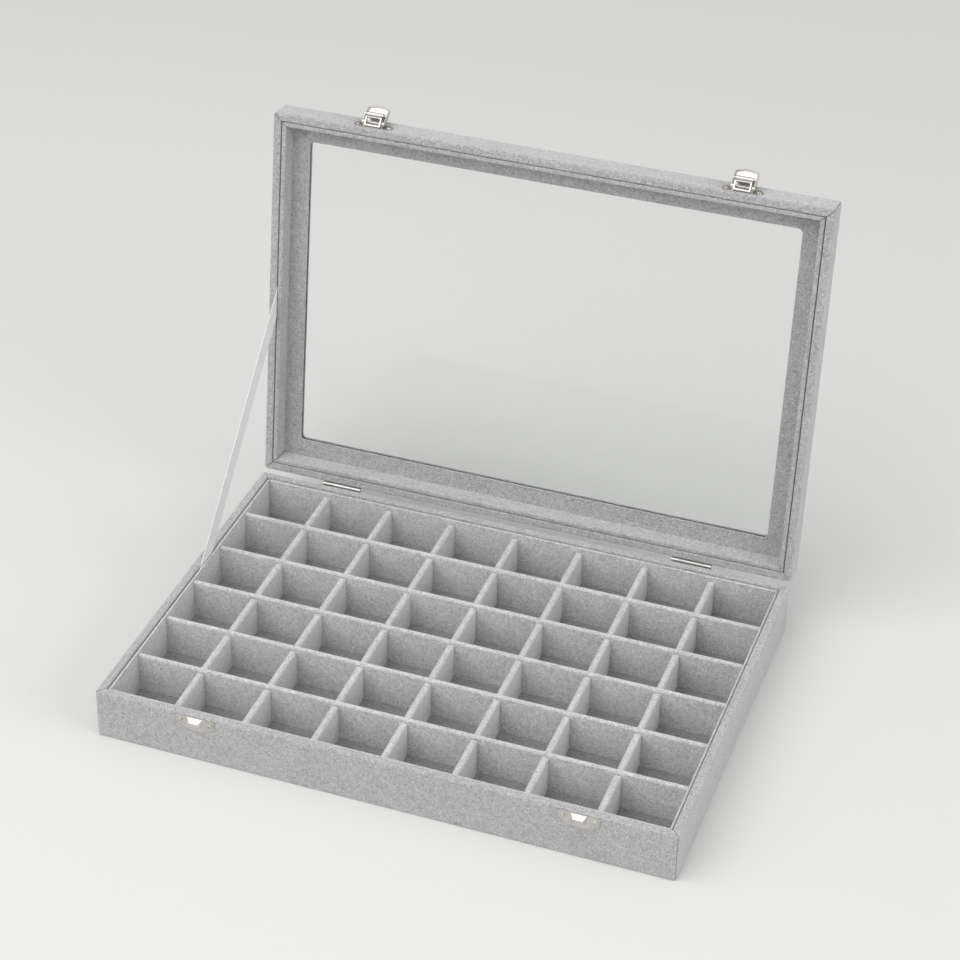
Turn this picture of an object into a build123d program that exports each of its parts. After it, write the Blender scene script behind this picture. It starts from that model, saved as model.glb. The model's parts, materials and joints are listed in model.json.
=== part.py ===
from build123d import *
import math
import os

os.makedirs("parts", exist_ok=True)

# Compartment organizer box with a hinged glass lid, millimetres, +Z up.
# The origin is the middle of the underside, the front is at -Y, and the lid stands open.

# Outer box
box_width = 350.0
box_depth = 245.0
tray_height = 32.0
wall_thickness = 5.0
corner_radius = 2.2
edge_round = 1.3
rim_round = 0.8
mitre_gap = 0.4

# Tray inside
base_thickness = 3.0
floor_pad_thickness = 1.5
lining_gap = 0.6
tray_lining_thickness = 1.4
tray_lining_drop = 1.2
lining_round = 0.55
fit_clearance = 0.1

# Compartments
column_count = 8
row_count = 6
row_divider_thickness = 3.2
column_divider_thickness = 4.2
row_divider_drop = 1.2
column_below_row = 1.4
column_corner_round = 2.0
lap_height = 12.0

# Lid
lid_cavity_depth = 12.3
bezel_thickness = 1.2
glass_thickness = 2.0
top_frame_thickness = 1.5
lid_lining_thickness = 2.8
lid_lining_drop = 0.3
lid_lining_round = 0.9
window_border = 19.9
window_corner_radius = 3.0
glass_edge_inset = 1.0
seam_width = 0.4
seam_depth = 0.3

# Hinges
seam_gap = 0.8
lid_open_angle = 96.8
hinge_left_inset = 54.5
hinge_right_inset = 62.5
hinge_axis_offset = 1.0
hinge_width = 25.5
hinge_leaf_height = 11.0
hinge_leaf_thickness = 0.8
knuckle_radius = 1.3
outer_knuckle_width = 6.2
knuckle_gap = 0.2
knuckle_clearance = 0.2
hinge_pin_radius = 0.6
hinge_screw_spacing = 15.0
hinge_screw_edge = 3.5

# Screws, pins and their holes
screw_head_radius = 1.5
screw_head_height = 0.7
screw_head_round = 0.35
screw_shank_radius = 0.75
screw_length = 4.0
screw_slot_width = 0.4
screw_slot_depth = 0.3
screw_hole_clearance = 0.1
pilot_clearance = 0.02
pin_clearance = 0.05

# Keepers and latches, placed by their distance from the box's ends
latch_left_inset = 63.8
latch_right_inset = 56.3
plate_thickness = 0.6
keeper_width = 23.6
keeper_end_height = 5.0
keeper_height = 9.5
keeper_below_rim = 1.0
keeper_screw_spacing = 18.8
keeper_screw_below_rim = 4.5
ridge_width = 9.2
ridge_crest_width = 5.8
ridge_height = 5.8
ridge_crest_height = 2.0
ridge_depth = 3.4
ridge_below_rim = 1.2
ridge_round = 0.3

latch_plate_width = 24.4
latch_plate_height = 7.8
latch_plate_end_cut = 2.4
latch_screw_spacing = 19.6
latch_pivot_above_rim = 5.0
latch_pivot_standoff = 2.4
latch_open_angle = 130.0
ear_thickness = 0.8
ear_radius = 1.6
latch_pin_radius = 0.6
latch_side_clearance = 0.25

lever_width = 14.4
lever_length = 11.7
lever_heel = 0.6
lever_sheet = 0.8
lever_crown = 2.4
lever_skirt = 1.5
lever_tip_skirt = 0.7
lever_arch = 1.3
lever_corner_round = 1.2
lever_round = 0.5

loop_width = 10.4
loop_arm_width = 0.9
loop_sheet = 0.8
loop_roll_radius = 1.3
loop_bar_radius = 0.5
loop_pin_reach = 5.2
loop_length = 8.1
loop_arch = 2.0
loop_arch_place = 3.2
loop_solid_length = 3.5
loop_rest_angle = 38.5

# Ribbon stay, flat in the gap between the left wall and its lining
ribbon_width = 12.0
ribbon_thickness = 0.4
ribbon_tuck = 10.0
ribbon_tray_reach = 101.0
ribbon_lid_reach = 118.6

# Sizes worked out from the ones above
half_width = box_width / 2
half_depth = box_depth / 2
lid_height = lid_cavity_depth + bezel_thickness + glass_thickness + top_frame_thickness
rail_height = lid_height - top_frame_thickness
floor_top = base_thickness + floor_pad_thickness
lining_top = tray_height - tray_lining_drop
tray_inset = wall_thickness + lining_gap + tray_lining_thickness
inner_half_width = half_width - tray_inset
inner_half_depth = half_depth - tray_inset
column_pitch = (2 * inner_half_width + column_divider_thickness) / column_count
row_pitch = (2 * inner_half_depth + row_divider_thickness) / row_count
first_column = -inner_half_width - column_divider_thickness / 2
first_row = -inner_half_depth - row_divider_thickness / 2
column_places = [first_column + column_pitch * i for i in range(1, column_count)]
row_places = [first_row + row_pitch * i for i in range(1, row_count)]
row_top = lining_top - row_divider_drop
column_top = row_top - column_below_row
lap_z = floor_top + lap_height
mitre_slack = mitre_gap / math.sqrt(2)
sides = ["front", "back", "left", "right"]
latch_places = {"left": latch_left_inset - half_width, "right": half_width - latch_right_inset}
hinge_places = {"left": hinge_left_inset - half_width, "right": half_width - hinge_right_inset}

# Lid directions when open: across runs from the hinge to the lid's front, up from its rim to its top
open_rad = math.radians(lid_open_angle)
across = Vector(0, -math.cos(open_rad), math.sin(open_rad))
up = Vector(0, math.sin(open_rad), math.cos(open_rad))
hinge_axis = Vector(0, half_depth + hinge_axis_offset, tray_height + seam_gap / 2)
lid_rim = seam_gap / 2
lid_front = hinge_axis_offset + box_depth


def lid_point(x, reach, height):
    """A point of the open lid: reach from the hinge axis towards the front, height up from the axis."""
    return hinge_axis + Vector(x, 0, 0) + across * reach + up * height


def lid_plane(height):
    """A plane across the open lid, its origin in the middle of the lid's outline."""
    return Plane(lid_point(0, hinge_axis_offset + half_depth, height), x_dir=(1, 0, 0), z_dir=up)


def save(piece, name):
    """Label one finished piece and write it."""
    piece.part.label = name
    export_step(piece.part, f"parts/{name}.step")


def ring_side_outline(side, ring_half_x, ring_half_y, thickness):
    """Plan of one mitred side of a rectangular ring, as four corners."""
    runs_along_x = side in ("front", "back")
    outer = (ring_half_x if runs_along_x else ring_half_y) - mitre_slack
    inner = outer - thickness
    outside = -ring_half_y if runs_along_x else -ring_half_x
    inside = outside + thickness
    corners = [(-outer, outside), (outer, outside), (inner, inside), (-inner, inside)]
    turned = {
        "front": lambda a, b: (a, b),
        "back": lambda a, b: (a, -b),
        "left": lambda a, b: (b, a),
        "right": lambda a, b: (-b, a),
    }
    return [turned[side](a, b) for a, b in corners]


def ring_side(side, plane, ring_half_x, ring_half_y, thickness, height):
    """Extrude one mitred side inside the open part."""
    with BuildSketch(plane) as plan:
        with BuildLine():
            Polyline(ring_side_outline(side, ring_half_x, ring_half_y, thickness), close=True)
        make_face()
    extrude(plan.sketch, amount=height)


def long_edges(piece, side, depth_axis):
    """The edges that run the whole length of one side of a ring."""
    return piece.edges().filter_by(Axis.X if side in ("front", "back") else depth_axis)


def seat(origin, normal):
    """The plane that a screw head or a flat plate lies on, with its x along the box."""
    return Plane(origin, x_dir=(1, 0, 0), z_dir=normal)


def drill(seats, radius, depth):
    """Cut round holes into the open part, inward from each seat."""
    for hole_seat in seats:
        with BuildSketch(hole_seat) as hole:
            Circle(radius)
        extrude(hole.sketch, amount=-depth, mode=Mode.SUBTRACT)


def pair_places(centre, spacing):
    """Two places along the box, one each side of a centre."""
    return [centre - spacing / 2, centre + spacing / 2]


# Screw seats, on the outer faces of the plates and leaves
front_out = Vector(0, -1, 0)
back_out = Vector(0, 1, 0)
keeper_screw_z = tray_height - keeper_screw_below_rim
keeper_seats = {
    name: [
        seat((x, -half_depth - plate_thickness, keeper_screw_z), front_out)
        for x in pair_places(place, keeper_screw_spacing)
    ]
    for name, place in latch_places.items()
}
latch_pivot_height = lid_rim + latch_pivot_above_rim
latch_seats = {
    name: [
        seat(lid_point(x, lid_front + plate_thickness, latch_pivot_height), across)
        for x in pair_places(place, latch_screw_spacing)
    ]
    for name, place in latch_places.items()
}
hinge_screw_drop = hinge_leaf_height - hinge_screw_edge
tray_leaf_seats = {
    name: [
        seat((x, half_depth + hinge_leaf_thickness, hinge_axis.Z - hinge_screw_drop), back_out)
        for x in pair_places(place, hinge_screw_spacing)
    ]
    for name, place in hinge_places.items()
}
lid_leaf_seats = {
    name: [
        seat(lid_point(x, hinge_axis_offset - hinge_leaf_thickness, hinge_screw_drop), -across)
        for x in pair_places(place, hinge_screw_spacing)
    ]
    for name, place in hinge_places.items()
}
all_keeper_seats = keeper_seats["left"] + keeper_seats["right"]
all_latch_seats = latch_seats["left"] + latch_seats["right"]
all_tray_leaf_seats = tray_leaf_seats["left"] + tray_leaf_seats["right"]
all_lid_leaf_seats = lid_leaf_seats["left"] + lid_leaf_seats["right"]
wall_seats = {"front": all_keeper_seats, "back": all_tray_leaf_seats}
rail_seats = {"front": all_latch_seats, "back": all_lid_leaf_seats}
pilot_radius = screw_shank_radius + pilot_clearance
plate_hole_radius = screw_shank_radius + screw_hole_clearance
pilot_depth = screw_length + fit_clearance

# Rounded outlines that the mitred walls and rails are trimmed to
with BuildPart() as tray_outline:
    with BuildSketch():
        RectangleRounded(box_width, box_depth, corner_radius)
    extrude(amount=tray_height)
    for flat_end in (tray_outline.faces().sort_by(Axis.Z)[0], tray_outline.faces().sort_by(Axis.Z)[-1]):
        fillet(flat_end.edges(), edge_round)

lid_axis = Axis(lid_point(0, 0, 0), up)
lid_depth_axis = Axis(lid_point(0, 0, 0), across)
with BuildPart() as lid_outline:
    with BuildSketch(lid_plane(lid_rim)):
        RectangleRounded(box_width, box_depth, corner_radius)
    extrude(amount=lid_height)
    for flat_end in (lid_outline.faces().sort_by(lid_axis)[0], lid_outline.faces().sort_by(lid_axis)[-1]):
        fillet(flat_end.edges(), edge_round)

# Tray: base board, four mitred walls, four linings and the floor pad
inside_wall_x = half_width - wall_thickness
inside_wall_y = half_depth - wall_thickness
with BuildPart() as base_board:
    with BuildSketch():
        Rectangle(2 * (inside_wall_x - fit_clearance), 2 * (inside_wall_y - fit_clearance))
    extrude(amount=base_thickness)
save(base_board, "base_board")

for side in sides:
    with BuildPart() as tray_wall:
        ring_side(side, Plane.XY, half_width, half_depth, wall_thickness, tray_height)
        rim_edges = long_edges(tray_wall, side, Axis.Y)
        fillet(rim_edges.sort_by_distance((0, 0, tray_height))[0], rim_round)
        add(tray_outline.part, mode=Mode.INTERSECT)
        drill(wall_seats.get(side, []), pilot_radius, plate_thickness + pilot_depth)
    save(tray_wall, f"tray_{side}_wall")

lining_half_x = inside_wall_x - lining_gap
lining_half_y = inside_wall_y - lining_gap
for side in sides:
    with BuildPart() as tray_lining:
        lining_plane = Plane.XY.offset(base_thickness)
        lining_height = lining_top - base_thickness
        ring_side(side, lining_plane, lining_half_x, lining_half_y, tray_lining_thickness, lining_height)
        fillet(long_edges(tray_lining, side, Axis.Y).sort_by(Axis.Z)[-2:], lining_round)
    save(tray_lining, f"tray_{side}_lining")

with BuildPart() as tray_floor_pad:
    with BuildSketch(Plane.XY.offset(base_thickness)):
        Rectangle(2 * (inner_half_width - fit_clearance), 2 * (inner_half_depth - fit_clearance))
    extrude(amount=floor_pad_thickness)
save(tray_floor_pad, "tray_floor_pad")


def divider_board(end_plane, thickness, bottom, top, length):
    """Upright board with a round top, drawn on its end and extruded along its length."""
    half = thickness / 2
    with BuildSketch(end_plane) as end:
        with BuildLine():
            Polyline((-half, top - half), (-half, bottom), (half, bottom), (half, top - half))
            ThreePointArc((half, top - half), (0, top), (-half, top - half))
        make_face()
    extrude(end.sketch, amount=length)


row_slot_width = column_divider_thickness + 2 * fit_clearance
column_slot_width = row_divider_thickness + 2 * fit_clearance
row_length = 2 * (inner_half_width - fit_clearance)
column_length = 2 * (inner_half_depth - fit_clearance)


def column_slot(column_x, slot_y):
    """Cut one slot from above into the open column board, its mouth rounded as the covering is."""
    half = column_slot_width / 2
    mouth = half + column_corner_round
    shoulder = column_top - column_corner_round
    bend = column_corner_round * (1 - math.sqrt(0.5))
    slot_plane = Plane((column_x - column_divider_thickness, slot_y, 0), x_dir=(0, 1, 0), z_dir=(1, 0, 0))
    with BuildSketch(slot_plane) as slot:
        with BuildLine():
            Polyline((-half, shoulder), (-half, lap_z), (half, lap_z), (half, shoulder))
            ThreePointArc((half, shoulder), (half + bend, column_top - bend), (mouth, column_top))
            Polyline((mouth, column_top), (mouth, tray_height), (-mouth, tray_height), (-mouth, column_top))
            ThreePointArc((-mouth, column_top), (-half - bend, column_top - bend), (-half, shoulder))
        make_face()
    extrude(slot.sketch, amount=2 * column_divider_thickness, mode=Mode.SUBTRACT)


# Dividers, half-lapped: the row boards are slotted from below, the column boards from above
for index, row_y in enumerate(row_places, start=1):
    with BuildPart() as row_divider:
        row_end = Plane((-row_length / 2, row_y, 0), x_dir=(0, 1, 0), z_dir=(1, 0, 0))
        divider_board(row_end, row_divider_thickness, floor_top, row_top, row_length)
        with BuildSketch(Plane.XY.offset(floor_top)):
            with Locations([(column_x, row_y) for column_x in column_places]):
                Rectangle(row_slot_width, 2 * row_divider_thickness)
        extrude(amount=lap_height + fit_clearance, mode=Mode.SUBTRACT)
    save(row_divider, f"row_divider_{index}")

for index, column_x in enumerate(column_places, start=1):
    with BuildPart() as column_divider:
        column_end = Plane((column_x, -column_length / 2, 0), x_dir=(-1, 0, 0), z_dir=(0, 1, 0))
        divider_board(column_end, column_divider_thickness, floor_top, column_top, column_length)
        board_end = (column_length + column_slot_width) / 2
        for slot_y in [-board_end, *row_places, board_end]:
            column_slot(column_x, slot_y)
    save(column_divider, f"column_divider_{index}")

# Lid: four mitred rails with the top frame on them, four linings, bezel and glass
for side in sides:
    with BuildPart() as lid_rail:
        ring_side(side, lid_plane(lid_rim), half_width, half_depth, wall_thickness, rail_height)
        rim_edges = long_edges(lid_rail, side, lid_depth_axis)
        fillet(rim_edges.sort_by_distance(lid_plane(lid_rim).origin)[0], rim_round)
        add(lid_outline.part, mode=Mode.INTERSECT)
        drill(rail_seats.get(side, []), pilot_radius, plate_thickness + pilot_depth)
    save(lid_rail, f"lid_{side}_rail")

lid_lining_start = lid_rim + lid_lining_drop
bezel_front = lid_rim + lid_cavity_depth
for side in sides:
    with BuildPart() as lid_lining:
        lining_plane = lid_plane(lid_lining_start)
        lining_height = bezel_front - lid_lining_start
        ring_side(side, lining_plane, lining_half_x, lining_half_y, lid_lining_thickness, lining_height)
        fillet(long_edges(lid_lining, side, lid_depth_axis).sort_by(lid_axis)[:2], lid_lining_round)
    save(lid_lining, f"lid_{side}_lining")

window_width = box_width - 2 * window_border
window_depth = box_depth - 2 * window_border


def corner_seams(outer_half_x, outer_half_y):
    """Narrow strips from each window corner to the frame's corner, where the cover's mitre is."""
    for sign_x in (-1, 1):
        for sign_y in (-1, 1):
            near = Vector(sign_x * window_width / 2, sign_y * window_depth / 2)
            far = Vector(sign_x * outer_half_x, sign_y * outer_half_y)
            angle = math.degrees(math.atan2(far.Y - near.Y, far.X - near.X))
            with Locations((near + far) * 0.5):
                Rectangle((far - near).length, seam_width, rotation=angle)


with BuildPart() as lid_inner_bezel:
    with BuildSketch(lid_plane(bezel_front)):
        Rectangle(2 * (inside_wall_x - fit_clearance), 2 * (inside_wall_y - fit_clearance))
        RectangleRounded(window_width, window_depth, window_corner_radius, mode=Mode.SUBTRACT)
    extrude(amount=bezel_thickness)
    with BuildSketch(lid_plane(bezel_front)):
        corner_seams(inside_wall_x, inside_wall_y)
    extrude(amount=seam_depth, mode=Mode.SUBTRACT)
save(lid_inner_bezel, "lid_inner_bezel")

with BuildPart() as lid_glass:
    with BuildSketch(lid_plane(bezel_front + bezel_thickness)):
        Rectangle(2 * (inside_wall_x - glass_edge_inset), 2 * (inside_wall_y - glass_edge_inset))
    extrude(amount=glass_thickness)
save(lid_glass, "lid_glass")

with BuildPart() as lid_top_frame:
    with BuildSketch(lid_plane(lid_rim + rail_height)):
        Rectangle(box_width, box_depth)
        RectangleRounded(window_width, window_depth, window_corner_radius, mode=Mode.SUBTRACT)
    extrude(amount=top_frame_thickness)
    add(lid_outline.part, mode=Mode.INTERSECT)
    with BuildSketch(lid_plane(lid_rim + lid_height)):
        corner_seams(half_width, half_depth)
    extrude(amount=-seam_depth, mode=Mode.SUBTRACT)
save(lid_top_frame, "lid_top_frame")

# Hinges: a butt hinge on the outer back faces, its barrel in the seam
inner_knuckle_width = hinge_width - 2 * outer_knuckle_width - 2 * knuckle_gap
outer_knuckle_shift = (hinge_width - outer_knuckle_width) / 2
pin_hole_radius = hinge_pin_radius + pin_clearance
relief_radius = knuckle_radius + knuckle_clearance


def round_bar(centre, length, radius, mode=Mode.ADD):
    """A bar along the box with its middle at a point."""
    bar_plane = Plane(centre - Vector(length / 2, 0, 0), x_dir=(0, 1, 0), z_dir=(1, 0, 0))
    with BuildSketch(bar_plane) as bar_end:
        Circle(radius)
    extrude(bar_end.sketch, amount=length, mode=mode)


def hinge_leaf(middle, leaf_origin, leaf_normal, leaf_way, own_knuckles, other_knuckles):
    """One leaf: a flat plate beside the wall, its own knuckles, and reliefs round the other leaf's."""
    plate_plane = Plane(leaf_origin, x_dir=(1, 0, 0), z_dir=leaf_normal)
    plate_side = 1 if plate_plane.y_dir.dot(leaf_way) > 0 else -1
    with BuildSketch(plate_plane) as plate:
        with Locations((0, plate_side * hinge_leaf_height / 2)):
            Rectangle(hinge_width, hinge_leaf_height)
    extrude(plate.sketch, amount=hinge_leaf_thickness)
    for shift, width in own_knuckles:
        round_bar(middle + Vector(shift, 0, 0), width, knuckle_radius)
    for shift, width in other_knuckles:
        round_bar(middle + Vector(shift, 0, 0), width + 2 * knuckle_gap, relief_radius, Mode.SUBTRACT)
    round_bar(middle, hinge_width, pin_hole_radius, Mode.SUBTRACT)


outer_knuckles = [(-outer_knuckle_shift, outer_knuckle_width), (outer_knuckle_shift, outer_knuckle_width)]
inner_knuckles = [(0, inner_knuckle_width)]
for name, place in hinge_places.items():
    hinge_middle = hinge_axis + Vector(place, 0, 0)
    with BuildPart() as tray_leaf:
        leaf_origin = Vector(place, half_depth, hinge_axis.Z)
        hinge_leaf(hinge_middle, leaf_origin, back_out, Vector(0, 0, -1), outer_knuckles, inner_knuckles)
        drill(tray_leaf_seats[name], plate_hole_radius, hinge_leaf_thickness)
    save(tray_leaf, f"hinge_{name}_tray_leaf")

    with BuildPart() as lid_leaf:
        leaf_origin = lid_point(place, hinge_axis_offset, 0)
        hinge_leaf(hinge_middle, leaf_origin, -across, up, inner_knuckles, outer_knuckles)
        drill(lid_leaf_seats[name], plate_hole_radius, hinge_leaf_thickness)
    save(lid_leaf, f"hinge_{name}_lid_leaf")

    with BuildPart() as hinge_pin:
        round_bar(hinge_middle, hinge_width, hinge_pin_radius)
    save(hinge_pin, f"hinge_{name}_pin")


def screw_group(seats, name):
    """Small pan head screws with a cross slot, one on each seat."""
    with BuildPart() as screws:
        for screw_seat in seats:
            with BuildSketch(screw_seat):
                Circle(screw_head_radius)
            extrude(amount=screw_head_height)
        rims = screws.edges().filter_by(GeomType.CIRCLE)
        tops = [screw_seat.offset(screw_head_height).origin for screw_seat in seats]
        fillet([rims.sort_by_distance(top)[0] for top in tops], screw_head_round)
        for screw_seat in seats:
            with BuildSketch(screw_seat):
                Circle(screw_shank_radius)
            extrude(amount=-screw_length)
            with BuildSketch(screw_seat.offset(screw_head_height)):
                Rectangle(1.4 * screw_head_radius, screw_slot_width)
                Rectangle(screw_slot_width, 1.4 * screw_head_radius)
            extrude(amount=-screw_slot_depth, mode=Mode.SUBTRACT)
    save(screws, name)


screw_group(all_tray_leaf_seats, "hinge_tray_screws")
screw_group(all_lid_leaf_seats, "hinge_lid_screws")
screw_group(all_keeper_seats, "keeper_screws")
screw_group(all_latch_seats, "latch_screws")

# Keepers: a plate with a straight top and a curved bottom, and a ridge that the loop hooks under
keeper_top_z = tray_height - keeper_below_rim
ridge_middle = keeper_below_rim - ridge_below_rim - ridge_height / 2
for name, place in latch_places.items():
    keeper_plane = Plane((place, -half_depth, keeper_top_z), x_dir=(1, 0, 0), z_dir=front_out)
    with BuildPart() as keeper:
        with BuildSketch(keeper_plane):
            with BuildLine():
                half = keeper_width / 2
                Polyline((half, -keeper_end_height), (half, 0), (-half, 0), (-half, -keeper_end_height))
                ThreePointArc((-half, -keeper_end_height), (0, -keeper_height), (half, -keeper_end_height))
            make_face()
        extrude(amount=plate_thickness)
        with BuildSketch(keeper_plane.offset(plate_thickness)):
            with Locations((0, ridge_middle)):
                Rectangle(ridge_width, ridge_height)
        with BuildSketch(keeper_plane.offset(ridge_depth)):
            with Locations((0, ridge_middle)):
                Rectangle(ridge_crest_width, ridge_crest_height)
        loft()
        crest = keeper.faces().sort_by(Axis.Y)[0]
        fillet(crest.edges(), ridge_round)
        drill(keeper_seats[name], plate_hole_radius, plate_thickness)
    save(keeper, f"keeper_{name}")

# Latches on the lid's front rail, standing open
lever_angle = math.radians(latch_open_angle)
lever_along = up * -math.cos(lever_angle) + across * math.sin(lever_angle)
lever_out = across * math.cos(lever_angle) + up * math.sin(lever_angle)
loop_angle = math.radians(-loop_rest_angle)
loop_along = up * -math.cos(loop_angle) + across * math.sin(loop_angle)
ear_shift = loop_width / 2 + latch_side_clearance
latch_hole_radius = latch_pin_radius + pin_clearance


def cross_plane(origin, along):
    """A plane across the box whose x runs along a direction and whose normal is +X."""
    return Plane(origin, x_dir=along, z_dir=(1, 0, 0))


def lever_outline(origin, inset, mode):
    """Trim or hollow the open lever with its plan: straight sides and an arched free end."""
    half = lever_width / 2 - inset
    tip = lever_length - inset
    with BuildSketch(Plane(origin, x_dir=(1, 0, 0), z_dir=-lever_out)) as plan:
        with BuildLine():
            Polyline((-half, tip - lever_arch), (-half, -lever_length), (half, -lever_length), (half, tip - lever_arch))
            ThreePointArc((half, tip - lever_arch), (0, tip), (-half, tip - lever_arch))
        make_face()
        fillet(plan.vertices().sort_by(Axis.Y)[-2:], lever_corner_round)
    extrude(plan.sketch, amount=lever_length, mode=mode)


for name, place in latch_places.items():
    pivot = lid_point(place, lid_front + latch_pivot_standoff, latch_pivot_height)
    loop_pin_place = pivot + lever_along * loop_pin_reach

    with BuildPart() as latch_base:
        base_plane = Plane(lid_point(place, lid_front, latch_pivot_height), x_dir=(1, 0, 0), z_dir=across)
        with BuildSketch(base_plane) as base_sketch:
            Rectangle(latch_plate_width, latch_plate_height)
            chamfer(base_sketch.vertices(), latch_plate_end_cut)
        extrude(amount=plate_thickness)
        for ear_x in (-ear_shift - ear_thickness, ear_shift):
            with BuildSketch(cross_plane(pivot + Vector(ear_x, 0, 0), up)) as ear_sketch:
                Circle(ear_radius)
                with Locations((0, -latch_pivot_standoff / 2)):
                    Rectangle(2 * ear_radius, latch_pivot_standoff)
            extrude(amount=ear_thickness)
        round_bar(pivot, lever_width, latch_hole_radius, Mode.SUBTRACT)
        drill(latch_seats[name], plate_hole_radius, plate_thickness)
    save(latch_base, f"latch_{name}_base")

    with BuildPart() as latch_lever:
        with BuildSketch(cross_plane(pivot - Vector(lever_width / 2, 0, 0), lever_along)):
            Circle(lever_skirt)
            with BuildLine():
                Polyline(
                    (0, lever_skirt),
                    (lever_length, lever_tip_skirt - lever_crown),
                    (lever_length, -lever_crown - lever_sheet),
                    (lever_heel, -lever_crown - lever_sheet),
                    (-lever_skirt, 0),
                    close=True,
                )
            make_face()
        extrude(amount=lever_width)
        lever_outline(pivot + lever_out * (lever_crown + lever_sheet), 0, Mode.INTERSECT)
        lever_outline(pivot + lever_out * lever_crown, lever_sheet, Mode.SUBTRACT)
        above_lever = pivot + lever_along * lever_length / 2 + lever_out * lever_length
        fillet(latch_lever.faces().sort_by_distance(above_lever)[0].edges(), lever_round)
        round_bar(pivot, lever_width, latch_hole_radius, Mode.SUBTRACT)
        round_bar(loop_pin_place, lever_width, latch_pin_radius + pilot_clearance, Mode.SUBTRACT)
    save(latch_lever, f"latch_{name}_lever")

    with BuildPart() as latch_loop:
        loop_start = loop_pin_place - Vector(loop_width / 2, 0, 0)
        first_run = math.hypot(loop_arch_place, loop_arch)
        second_run = math.hypot(loop_length - loop_arch_place, loop_arch)
        first_turn = -math.degrees(math.atan2(loop_arch, loop_arch_place))
        second_turn = math.degrees(math.atan2(loop_arch, loop_length - loop_arch_place))
        with BuildSketch(cross_plane(loop_start, loop_along)):
            with Locations((loop_arch_place / 2, -loop_arch / 2)):
                SlotCenterToCenter(first_run, loop_sheet, rotation=first_turn)
            with Locations(((loop_arch_place + loop_length) / 2, -loop_arch / 2)):
                SlotCenterToCenter(second_run, loop_sheet, rotation=second_turn)
            with Locations((loop_length, 0)):
                Circle(loop_bar_radius)
            Circle(loop_roll_radius)
        extrude(amount=loop_width)
        window_end = loop_length - loop_bar_radius
        with BuildSketch(cross_plane(loop_start + Vector(loop_arm_width, 0, 0), loop_along)):
            with Locations(((loop_solid_length + window_end) / 2, 0)):
                Rectangle(window_end - loop_solid_length, 2 * (loop_arch + loop_sheet))
        extrude(amount=loop_width - 2 * loop_arm_width, mode=Mode.SUBTRACT)
        round_bar(loop_pin_place, loop_width, latch_hole_radius, Mode.SUBTRACT)
    save(latch_loop, f"latch_{name}_loop")

    for pin_name, pin_place in (("pivot_pin", pivot), ("loop_pin", loop_pin_place)):
        with BuildPart() as latch_pin:
            round_bar(pin_place, lever_width, latch_pin_radius)
        save(latch_pin, f"latch_{name}_{pin_name}")

# Ribbon stay: a straight satin strip from the tray's gap to the lid's gap
ribbon_x = -half_width + wall_thickness + lining_gap / 2
ribbon_foot = Vector(ribbon_x, hinge_axis.Y - ribbon_tray_reach, tray_height)
ribbon_head = lid_point(ribbon_x, ribbon_lid_reach, lid_rim)
ribbon_run = ribbon_head - ribbon_foot
ribbon_way = ribbon_run.normalized()
with BuildPart() as lid_stay_ribbon:
    ribbon_centre = (ribbon_foot + ribbon_head) * 0.5 - Vector(ribbon_thickness / 2, 0, 0)
    with BuildSketch(cross_plane(ribbon_centre, ribbon_way)):
        Rectangle(ribbon_run.length + 2 * ribbon_tuck, ribbon_width)
    extrude(amount=ribbon_thickness)
save(lid_stay_ribbon, "lid_stay_ribbon")
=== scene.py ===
import json
import math

import bmesh
import bpy
from mathutils import Matrix, Vector


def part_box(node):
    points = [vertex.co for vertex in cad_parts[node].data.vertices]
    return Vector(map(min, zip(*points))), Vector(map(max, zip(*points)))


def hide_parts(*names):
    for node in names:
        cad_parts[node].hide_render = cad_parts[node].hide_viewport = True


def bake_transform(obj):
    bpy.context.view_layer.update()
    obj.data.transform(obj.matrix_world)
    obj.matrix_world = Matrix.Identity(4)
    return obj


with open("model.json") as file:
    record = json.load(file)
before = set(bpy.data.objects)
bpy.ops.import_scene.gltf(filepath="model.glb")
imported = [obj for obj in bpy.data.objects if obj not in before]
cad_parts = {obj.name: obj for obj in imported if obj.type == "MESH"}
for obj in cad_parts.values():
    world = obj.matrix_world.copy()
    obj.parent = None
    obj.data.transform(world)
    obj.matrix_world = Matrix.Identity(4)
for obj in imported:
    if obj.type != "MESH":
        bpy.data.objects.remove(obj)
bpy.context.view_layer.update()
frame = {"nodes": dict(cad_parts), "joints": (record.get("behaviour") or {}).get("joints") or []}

# Camera, fitted to the photograph's frame: place in metres, angles in degrees, lens and sensor in mm
CAMERA_PLACE = (0.42998, -1.21124, 1.01056)
CAMERA_AZIMUTH = 20.616
CAMERA_ELEVATION = 31.748
CAMERA_ROLL = 0.283
CAMERA_LENS = 101.482
CAMERA_SENSOR = 36.0
CAMERA_SHIFT = (0.07, -0.11)
CAMERA_NEAR = 0.05
CAMERA_FAR = 50.0

# Lamps: colour, power in watts, diameter in metres, place
KEY_LAMP = ((1.0, 0.992, 0.980), 44.0, 3.0, (-0.90, -1.30, 1.75))
FILL_LAMP = ((0.99, 0.995, 1.0), 34.0, 2.0, (2.50, -0.45, 1.00))
LAMP_TARGET = (0.0, 0.02, 0.08)

# World: a ramp over the height, which is 0 straight below and 1 straight above
WORLD_STRENGTH = 0.49
HORIZON_PLACE = 0.50
HORIZON_COLOUR = (0.36, 0.365, 0.375, 1.0)
ZENITH_PLACE = 0.95
ZENITH_COLOUR = (1.62, 1.62, 1.61, 1.0)

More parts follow.
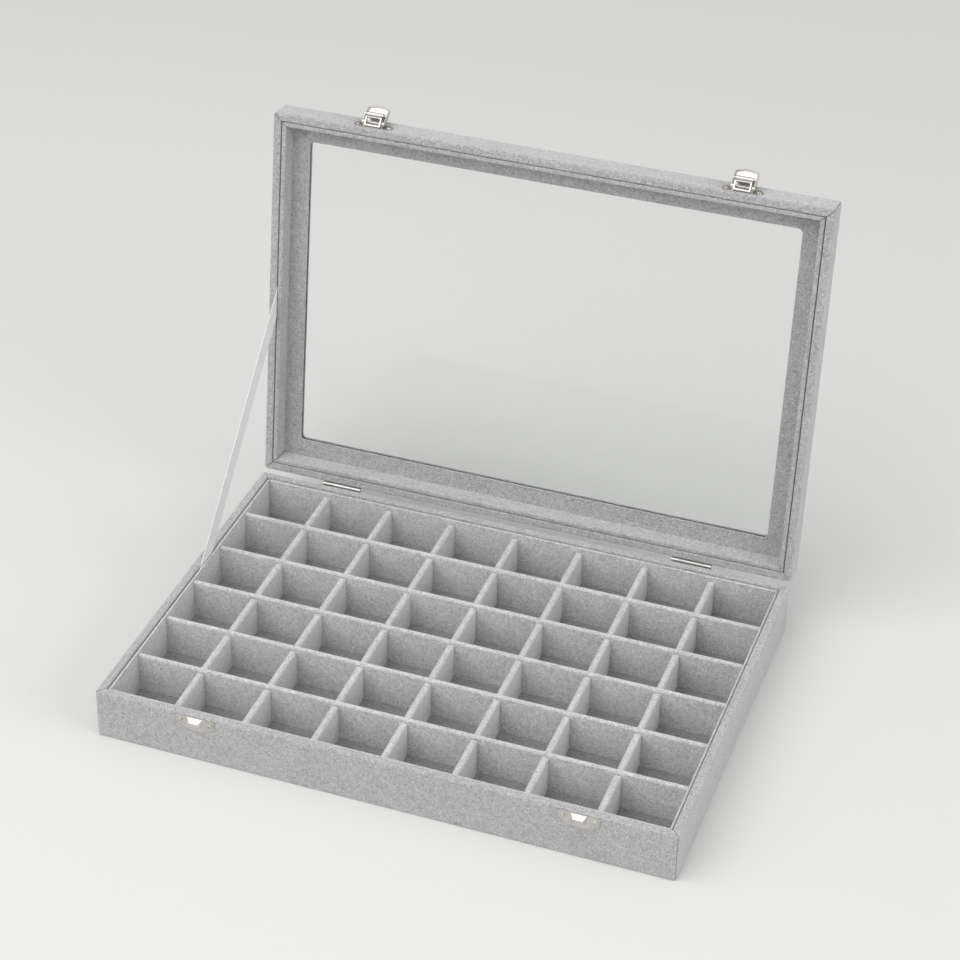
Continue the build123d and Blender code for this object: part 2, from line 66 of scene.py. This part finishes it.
# Colours, linear
VELVET_DARK = (0.215, 0.214, 0.218, 1.0)
VELVET_LIGHT = (0.605, 0.603, 0.606, 1.0)
# Dividers and tray linings: a paler copy of the velvet; part of its paleness is painted light that
# lifts the compartments' walls
LIT_INSIDE_DARK = (0.310, 0.309, 0.313, 1.0)
LIT_INSIDE_LIGHT = (0.790, 0.788, 0.791, 1.0)
# Floor pad: a darker copy of the velvet, painted shade on the compartments' floors
SHADED_PAD_DARK = (0.150, 0.150, 0.153, 1.0)
SHADED_PAD_LIGHT = (0.330, 0.329, 0.333, 1.0)
BOARD_DARK = (0.260, 0.258, 0.255, 1.0)
BOARD_LIGHT = (0.380, 0.378, 0.372, 1.0)
SHEEN_TINT = (1.0, 1.0, 1.0, 1.0)
NICKEL_COLOUR = (0.660, 0.640, 0.610, 1.0)
STEEL_COLOUR = (0.560, 0.550, 0.530, 1.0)
GLASS_COLOUR = (0.965, 0.985, 0.980, 1.0)
RIBBON_DARK = (0.780, 0.780, 0.775, 1.0)
RIBBON_LIGHT = (0.950, 0.950, 0.945, 1.0)
FLOOR_COLOUR = (0.690, 0.686, 0.678, 1.0)

# Velvet's nap in three layers: noise scale, and its share of the colour
NAP_GRAIN, GRAIN_SHARE = 900.0, 0.66
NAP_TUFTS, TUFTS_SHARE = 420.0, 0.24
NAP_BRUSHED, BRUSHED_SHARE = 34.0, 0.10
NAP_BUMP = 0.75
NAP_HEIGHT = 0.0007

# Metal: lowest and highest roughness, and how dark the worn patches are
NICKEL_POLISH = (0.30, 0.42)
STEEL_POLISH = (0.28, 0.42)
METAL_WEAR = 0.80
BRUSHING_BUMP = 0.06
BRUSHING_HEIGHT = 0.0001

# Glass and floor
GLASS_IOR = 1.30
SMEAR_ROUGHNESS = 0.03
FLOOR_HALF_SIZE = 6.0

# Ribbon stay, in metres: the tray's end, the lid's end and what is tucked into each gap
RIBBON_WIDTH = 0.0120
RIBBON_THICKNESS = 0.0003
RIBBON_TRAY_REACH = 0.101
RIBBON_LID_REACH = 0.1186
RIBBON_TUCK = 0.0098
LID_RIM = 0.0004
RIBBON_STEPS = 150
RIBBON_LANES = 8
SELVEDGE_START = 0.44
THIN_INSIDE = 0.55
THREAD_SCALE = 420.0
THREAD_BUMP = 0.25
THREAD_HEIGHT = 0.0002

# A Mix node's sockets for colours
MIX_FIRST, MIX_SECOND, MIX_RESULT = 6, 7, 2


def make_camera():
    data = bpy.data.cameras.new("camera")
    data.lens = CAMERA_LENS
    data.sensor_width = CAMERA_SENSOR
    data.shift_x, data.shift_y = CAMERA_SHIFT
    data.clip_start = CAMERA_NEAR
    data.clip_end = CAMERA_FAR
    camera = bpy.data.objects.new("camera", data)
    bpy.context.scene.collection.objects.link(camera)
    azimuth = math.radians(CAMERA_AZIMUTH)
    elevation = math.radians(CAMERA_ELEVATION)
    roll = math.radians(CAMERA_ROLL)
    forward = Vector((
        -math.sin(azimuth) * math.cos(elevation),
        math.cos(azimuth) * math.cos(elevation),
        -math.sin(elevation),
    ))
    level = Vector((math.cos(azimuth), math.sin(azimuth), 0.0))
    above = level.cross(forward)
    right = math.cos(roll) * level + math.sin(roll) * above
    up = -math.sin(roll) * level + math.cos(roll) * above
    turn = Matrix((right, up, -forward)).transposed().to_4x4()
    camera.matrix_world = Matrix.Translation(CAMERA_PLACE) @ turn
    bpy.context.scene.camera = camera


def make_lamp(name, settings):
    colour, power, size, place = settings
    data = bpy.data.lights.new(name, "AREA")
    data.color = colour
    data.energy = power
    data.shape = "DISK"
    data.size = size
    lamp = bpy.data.objects.new(name, data)
    bpy.context.scene.collection.objects.link(lamp)
    lamp.location = place
    aim = Vector(LAMP_TARGET) - Vector(place)
    lamp.rotation_euler = aim.to_track_quat("-Z", "Y").to_euler()


def make_world():
    world = bpy.data.worlds.new("studio")
    bpy.context.scene.world = world
    world.use_nodes = True
    tree = world.node_tree
    tree.nodes.clear()
    output = tree.nodes.new("ShaderNodeOutputWorld")
    background = tree.nodes.new("ShaderNodeBackground")
    background.inputs["Strength"].default_value = WORLD_STRENGTH
    coordinates = tree.nodes.new("ShaderNodeTexCoord")
    parts = tree.nodes.new("ShaderNodeSeparateXYZ")
    ramp = tree.nodes.new("ShaderNodeValToRGB")
    ramp.color_ramp.elements[0].position = HORIZON_PLACE
    ramp.color_ramp.elements[0].color = HORIZON_COLOUR
    ramp.color_ramp.elements[1].position = ZENITH_PLACE
    ramp.color_ramp.elements[1].color = ZENITH_COLOUR
    height = tree.nodes.new("ShaderNodeMath")
    height.operation = "MULTIPLY_ADD"
    height.inputs[1].default_value = 0.5
    height.inputs[2].default_value = 0.5
    tree.links.new(coordinates.outputs["Generated"], parts.inputs["Vector"])
    tree.links.new(parts.outputs["Z"], height.inputs[0])
    tree.links.new(height.outputs["Value"], ramp.inputs["Fac"])
    tree.links.new(ramp.outputs["Color"], background.inputs["Color"])
    tree.links.new(background.outputs["Background"], output.inputs["Surface"])


class Shader:
    """A material with a Principled shader and short ways to add nodes to it."""

    def __init__(self, name):
        self.material = bpy.data.materials.new(name)
        self.material.use_nodes = True
        self.tree = self.material.node_tree
        self.tree.nodes.clear()
        self.output = self.tree.nodes.new("ShaderNodeOutputMaterial")
        self.shader = self.tree.nodes.new("ShaderNodeBsdfPrincipled")
        self.link(self.shader.outputs["BSDF"], self.output.inputs["Surface"])
        self.coordinates = self.tree.nodes.new("ShaderNodeTexCoord").outputs["Object"]

    def link(self, source, target):
        self.tree.links.new(source, target)

    def set(self, **values):
        for name, value in values.items():
            self.shader.inputs[name.replace("_", " ")].default_value = value

    def noise(self, scale, detail=2.0, roughness=0.5, stretch=None, distortion=0.0):
        source = self.coordinates
        if stretch is not None:
            mapping = self.tree.nodes.new("ShaderNodeMapping")
            mapping.inputs["Scale"].default_value = stretch
            self.link(source, mapping.inputs["Vector"])
            source = mapping.outputs["Vector"]
        node = self.tree.nodes.new("ShaderNodeTexNoise")
        node.inputs["Scale"].default_value = scale
        node.inputs["Detail"].default_value = detail
        node.inputs["Roughness"].default_value = roughness
        node.inputs["Distortion"].default_value = distortion
        self.link(source, node.inputs["Vector"])
        return node.outputs["Fac"]

    def spread(self, source, low, high, to_low=0.0, to_high=1.0):
        node = self.tree.nodes.new("ShaderNodeMapRange")
        node.inputs["From Min"].default_value = low
        node.inputs["From Max"].default_value = high
        node.inputs["To Min"].default_value = to_low
        node.inputs["To Max"].default_value = to_high
        self.link(source, node.inputs["Value"])
        return node.outputs["Result"]

    def maths(self, operation, first, second):
        node = self.tree.nodes.new("ShaderNodeMath")
        node.operation = operation
        for socket, value in zip(node.inputs, (first, second)):
            if isinstance(value, (int, float)):
                socket.default_value = value
            else:
                self.link(value, socket)
        return node.outputs["Value"]

    def mix(self, factor, first, second):
        node = self.tree.nodes.new("ShaderNodeMix")
        node.data_type = "RGBA"
        self.link(factor, node.inputs["Factor"])
        node.inputs[MIX_FIRST].default_value = first
        node.inputs[MIX_SECOND].default_value = second
        return node.outputs[MIX_RESULT]

    def bump(self, height, strength, distance):
        node = self.tree.nodes.new("ShaderNodeBump")
        node.inputs["Strength"].default_value = strength
        node.inputs["Distance"].default_value = distance
        self.link(height, node.inputs["Height"])
        self.link(node.outputs["Normal"], self.shader.inputs["Normal"])


def velvet_material(name, dark, light):
    """Short nap: curly fine grain, slow marks where it has been brushed, and a sheen."""
    made = Shader(name)
    grain = made.noise(NAP_GRAIN, detail=1.5, roughness=0.5, distortion=1.6)
    tufts = made.noise(NAP_TUFTS, detail=2.0, roughness=0.6, distortion=1.0)
    brushed = made.noise(NAP_BRUSHED, detail=3.0, roughness=0.55, distortion=0.6)
    fine = made.maths("MULTIPLY", made.spread(grain, 0.34, 0.66), GRAIN_SHARE)
    middle = made.maths("MULTIPLY", made.spread(tufts, 0.30, 0.70), TUFTS_SHARE)
    slow = made.maths("MULTIPLY", made.spread(brushed, 0.30, 0.70), BRUSHED_SHARE)
    nap = made.maths("ADD", fine, made.maths("ADD", middle, slow))
    made.link(made.mix(nap, dark, light), made.shader.inputs["Base Color"])
    made.set(Roughness=0.92, Sheen_Weight=1.0, Sheen_Roughness=0.42)
    made.set(Specular_IOR_Level=0.12, Sheen_Tint=SHEEN_TINT)
    made.bump(made.maths("ADD", grain, tufts), NAP_BUMP, NAP_HEIGHT)
    return made.material


def metal_material(name, colour, polish):
    """Plated sheet metal: slightly uneven polish, faint brushing and rounded wear."""
    made = Shader(name)
    haze = made.noise(220.0, detail=4.0, roughness=0.6)
    brushing = made.noise(900.0, detail=2.0, stretch=(0.12, 1.0, 1.0))
    made.link(made.spread(haze, 0.3, 0.7, *polish), made.shader.inputs["Roughness"])
    shade = made.spread(made.noise(140.0, detail=3.0), 0.3, 0.75)
    darker = tuple(c * METAL_WEAR for c in colour[:3]) + (1.0,)
    made.link(made.mix(shade, darker, colour), made.shader.inputs["Base Color"])
    made.set(Metallic=1.0)
    made.bump(brushing, BRUSHING_BUMP, BRUSHING_HEIGHT)
    return made.material


def glass_material():
    """Clear pane with a faint smear here and there."""
    made = Shader("clear_pane")
    made.set(Base_Color=GLASS_COLOUR, Transmission_Weight=1.0, IOR=GLASS_IOR)
    smear = made.spread(made.noise(14.0, detail=4.0), 0.45, 0.8, 0.0, SMEAR_ROUGHNESS)
    made.link(smear, made.shader.inputs["Roughness"])
    return made.material


def ribbon_material(run):
    """Satin: long floats across the ribbon, with a fine rib along each thread."""
    made = Shader("ribbon_satin")
    mapping = made.tree.nodes.new("ShaderNodeMapping")
    mapping.vector_type = "TEXTURE"
    mapping.inputs["Rotation"].default_value = (math.atan2(run.z, run.y), 0.0, 0.0)
    made.link(made.coordinates, mapping.inputs["Vector"])
    wave = made.tree.nodes.new("ShaderNodeTexWave")
    wave.wave_type = "BANDS"
    wave.bands_direction = "Y"
    wave.inputs["Scale"].default_value = THREAD_SCALE
    wave.inputs["Distortion"].default_value = 1.2
    wave.inputs["Detail"].default_value = 1.0
    made.link(mapping.outputs["Vector"], wave.inputs["Vector"])
    thread = wave.outputs["Fac"]
    shade = made.maths("MULTIPLY", thread, made.noise(600.0, detail=2.0))
    made.link(made.mix(shade, RIBBON_DARK, RIBBON_LIGHT), made.shader.inputs["Base Color"])
    made.set(Roughness=0.38, Sheen_Weight=0.25, Sheen_Roughness=0.3)
    made.bump(thread, THREAD_BUMP, THREAD_HEIGHT)
    return made.material


def floor_material():
    made = Shader("studio_floor")
    made.set(Base_Color=FLOOR_COLOUR, Roughness=0.65, Specular_IOR_Level=0.25)
    return made.material


def dress(nodes, material):
    for name in nodes:
        piece = frame["nodes"][name]
        piece.data.materials.clear()
        piece.data.materials.append(material)


def make_floor():
    size = FLOOR_HALF_SIZE
    mesh = bpy.data.meshes.new("floor")
    corners = [(-size, -size, 0.0), (size, -size, 0.0), (size, size, 0.0), (-size, size, 0.0)]
    mesh.from_pydata(corners, [], [(0, 1, 2, 3)])
    floor = bpy.data.objects.new("floor", mesh)
    bpy.context.scene.collection.objects.link(floor)
    floor.data.materials.append(floor_material())


def ribbon_ends():
    """Where the taut ribbon crosses the tray's rim and the lid's rim."""
    hinge = frame["joints"][0]
    axis = Vector(hinge["pos_m"])
    open_angle = math.radians(hinge["range_deg"][1])
    across_lid = Vector((0.0, -math.cos(open_angle), math.sin(open_angle)))
    out_of_lid = Vector((0.0, math.sin(open_angle), math.cos(open_angle)))
    low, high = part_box("lid_stay_ribbon")
    middle_x = (low.x + high.x) / 2
    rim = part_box("tray_left_wall")[1].z
    foot = Vector((middle_x, axis.y - RIBBON_TRAY_REACH, rim))
    head = axis + across_lid * RIBBON_LID_REACH + out_of_lid * LID_RIM
    head.x = middle_x
    return foot, head


def ribbon_mesh(start, way, length):
    """A closed thin strip from start along way, thicker at its two selvedges."""
    side = Vector((0.0, -way.z, way.y))
    steps, lanes = RIBBON_STEPS, RIBBON_LANES
    verts, faces = [], []
    for layer in (-0.5, 0.5):
        for i in range(steps + 1):
            for j in range(lanes + 1):
                across = j / lanes - 0.5
                selvedge = 1.0 if abs(across) > SELVEDGE_START else THIN_INSIDE
                point = start + way * (length * i / steps) + side * (across * RIBBON_WIDTH)
                point.x += layer * RIBBON_THICKNESS * selvedge
                verts.append(point)
    count = (steps + 1) * (lanes + 1)

    def at(layer, i, j):
        return layer * count + i * (lanes + 1) + j

    for i in range(steps):
        for j in range(lanes):
            faces.append((at(0, i, j), at(0, i + 1, j), at(0, i + 1, j + 1), at(0, i, j + 1)))
            faces.append((at(1, i, j), at(1, i, j + 1), at(1, i + 1, j + 1), at(1, i + 1, j)))
        for j in (0, lanes):
            faces.append((at(0, i, j), at(1, i, j), at(1, i + 1, j), at(0, i + 1, j)))
    for i in (0, steps):
        for j in range(lanes):
            faces.append((at(0, i, j), at(0, i, j + 1), at(1, i, j + 1), at(1, i, j)))
    mesh = bpy.data.meshes.new("ribbon_stay")
    mesh.from_pydata(verts, [], faces)
    mesh.validate()
    return mesh


def turn_faces_outwards(mesh):
    work = bmesh.new()
    work.from_mesh(mesh)
    bmesh.ops.recalc_face_normals(work, faces=work.faces)
    work.to_mesh(mesh)
    work.free()


def make_ribbon():
    foot, head = ribbon_ends()
    run = head - foot
    way = run.normalized()
    length = run.length + 2 * RIBBON_TUCK
    mesh = ribbon_mesh(foot - way * RIBBON_TUCK, way, length)
    ribbon = bpy.data.objects.new("ribbon_stay", mesh)
    bpy.context.scene.collection.objects.link(ribbon)
    turn_faces_outwards(mesh)
    ribbon.data.materials.append(ribbon_material(run))
    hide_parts("lid_stay_ribbon")
    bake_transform(ribbon)


make_camera()
make_world()
make_lamp("key_lamp", KEY_LAMP)
make_lamp("fill_lamp", FILL_LAMP)
make_floor()

velvet = velvet_material("grey_velvet", VELVET_DARK, VELVET_LIGHT)
# Paler velvet copy for the compartments' walls, partly painted light
inside = velvet_material("inside_velvet_painted_light", LIT_INSIDE_DARK, LIT_INSIDE_LIGHT)
# Darker velvet copy for the compartments' floors, painted shade
pad = velvet_material("pad_velvet_painted_shade", SHADED_PAD_DARK, SHADED_PAD_LIGHT)
board = velvet_material("base_cloth", BOARD_DARK, BOARD_LIGHT)
nickel = metal_material("polished_nickel", NICKEL_COLOUR, NICKEL_POLISH)
steel = metal_material("hinge_steel", STEEL_COLOUR, STEEL_POLISH)

names = list(frame["nodes"])
metal_nodes = [n for n in names if n.startswith(("latch", "keeper"))]
hinge_nodes = [n for n in names if n.startswith("hinge")]
inside_nodes = [n for n in names if "divider" in n or (n.startswith("tray") and n.endswith("_lining"))]
single_nodes = ["lid_glass", "lid_stay_ribbon", "base_board", "tray_floor_pad"]
other_nodes = set(metal_nodes + hinge_nodes + inside_nodes + single_nodes)
velvet_nodes = [n for n in names if n not in other_nodes]
dress(velvet_nodes, velvet)
dress(inside_nodes, inside)
dress(["tray_floor_pad"], pad)
dress(["base_board"], board)
dress(metal_nodes, nickel)
dress(hinge_nodes, steel)
dress(["lid_glass"], glass_material())
make_ribbon()

bpy.context.scene.view_settings.view_transform = "Standard"
